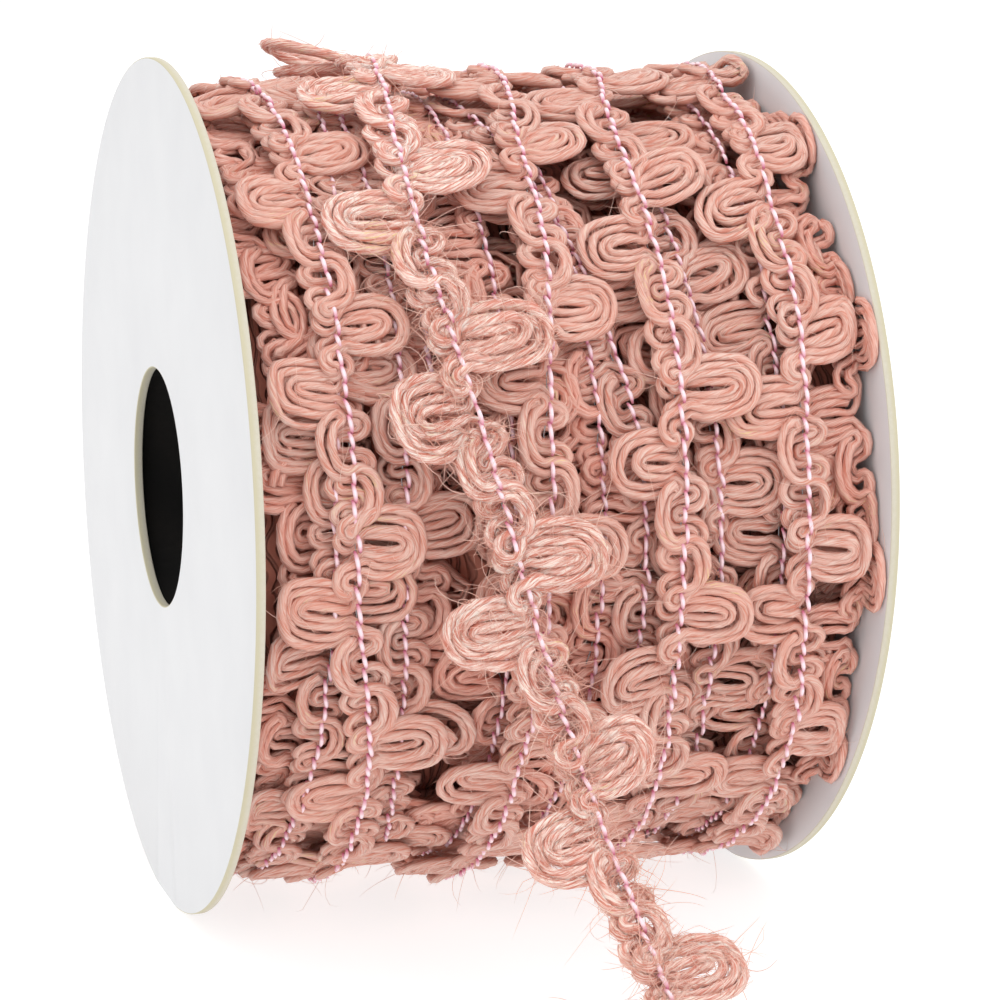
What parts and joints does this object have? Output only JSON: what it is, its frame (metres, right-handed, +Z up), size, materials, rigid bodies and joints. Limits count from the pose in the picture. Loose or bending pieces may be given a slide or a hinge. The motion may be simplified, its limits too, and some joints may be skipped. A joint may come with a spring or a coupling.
{
  "type": "jute loop trim on a card reel",
  "caption": "Fancy braid of looped pink jute yarns, sewn along its middle and wired, wound on a card reel with one loose end hanging to the surface.",
  "frame": {"origin": "on the surface the reel stands on, under the middle of the reel", "axes": "+X along the reel's axle from the left flange to the right one, +Z up, and -Y towards the side the loose end hangs on"},
  "size_m": [0.0732, 0.161, 0.1022],
  "materials": {
    "card": "white coated card with a satin face and a cream cut edge",
    "board": "bare grey-brown board",
    "jute": "soft hairy jute yarn dyed dusty pink",
    "thread": "bright lilac-pink sewing thread",
    "wire": "thin bare wire"
  },
  "bodies": {
    "root": {"flange_left": "card", "flange_right": "card", "core_tube": "board", "wound_trim": "jute", "loose_end": "jute"}
  },
  "joints": []
}
